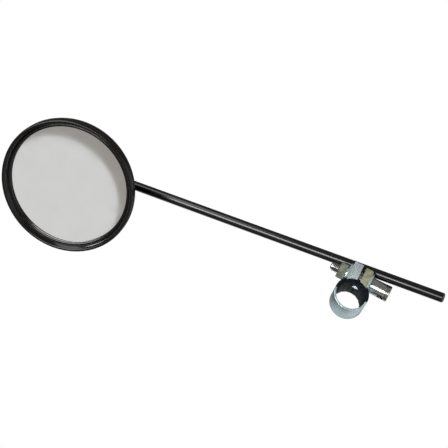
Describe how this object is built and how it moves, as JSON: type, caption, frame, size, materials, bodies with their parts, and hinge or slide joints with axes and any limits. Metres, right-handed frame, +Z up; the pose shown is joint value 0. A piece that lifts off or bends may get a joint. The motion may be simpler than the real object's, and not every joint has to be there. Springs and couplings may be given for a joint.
{
  "type": "handlebar mirror",
  "caption": "Round convex mirror in a stepped rim on a long straight rod, with a ball joint behind it and a strap clamp for a handlebar.",
  "frame": {"origin": "on the handlebar's axis, in the middle of the clamp's width", "axes": "+X along the handlebar, +Y from the handlebar to the clamp bolt, +Z up along the bolt, towards the mirror"},
  "size_m": [0.1176, 0.0932, 0.3848],
  "materials": {
    "zinc_strap": "bright zinc plate, rolled",
    "black_plastic": "moulded, satin",
    "grey_plastic": "moulded",
    "sintered_steel": "granular, zinc plated",
    "passivated_steel": "yellow passivated zinc",
    "nickel_steel": "bright nickel",
    "black_paint": "gloss black",
    "gloss_shell": "moulded, gloss",
    "foam": "closed-cell foam",
    "mirror": "silvered on the back, convex"
  },
  "bodies": {
    "clamp": {"band_strap": "zinc_strap", "saddle_insert": "black_plastic", "locating_key": "grey_plastic", "upper_jaw": "sintered_steel", "lower_jaw": "passivated_steel", "clamp_bolt": "nickel_steel"},
    "washer": {"nut_washer": "nickel_steel"},
    "nut": {"clamp_nut": "passivated_steel"},
    "cradle": {"rod_cradle": "black_paint"},
    "rod": {"mirror_rod": "black_paint"},
    "bracket": {"stud_bracket": "black_paint", "ball_stud": "nickel_steel", "bracket_screw": "nickel_steel", "bracket_nut": "nickel_steel"},
    "seat": {"ball_seat": "grey_plastic"},
    "head": {"socket_housing": "black_plastic", "pressure_pad": "grey_plastic", "disc_spring": "nickel_steel", "spring_plate": "zinc_strap", "retainer_screws": "nickel_steel", "back_shell": "gloss_shell", "glass_pad": "foam", "mirror_glass": "mirror", "rim_ring": "gloss_shell"}
  },
  "joints": [
    {"name": "nut_travel", "type": "slide", "parent": "clamp", "child": "washer", "axis": [0, 0, 1], "range_m": [0, 0.005]},
    {"name": "nut_turn", "type": "hinge", "parent": "washer", "child": "nut", "pos_m": [0, 0.0205, 0.0147], "axis": [0, 0, 1], "range_deg": [0, 1440]},
    {"name": "cradle_swivel", "type": "hinge", "parent": "clamp", "child": "cradle", "pos_m": [-0.0032, 0.028, 0], "axis": [0, 1, 0], "continuous": true},
    {"name": "rod_slide", "type": "slide", "parent": "cradle", "child": "rod", "axis": [-0.279, 0, 0.9603], "range_m": [-0.15, 0.055]},
    {"name": "bracket_turn", "type": "hinge", "parent": "rod", "child": "bracket", "pos_m": [-0.07677, 0.032, 0.25323], "axis": [-0.279, 0, 0.9603], "continuous": true},
    {"name": "mirror_tilt", "type": "hinge", "parent": "bracket", "child": "seat", "pos_m": [-0.06353, 0.01486, 0.25707], "axis": [0.7484, 0.6266, 0.2174], "range_deg": [-27.5, 4.5]},
    {"name": "mirror_pan", "type": "hinge", "parent": "seat", "child": "head", "pos_m": [-0.06353, 0.01486, 0.25707], "axis": [-0.1534, -0.1554, 0.9759], "range_deg": [-16, 16]}
  ],
  "couplings": [
    {"joint": "nut_turn", "follows": "nut_travel", "rad_per_m": 5026.5}
  ]
}
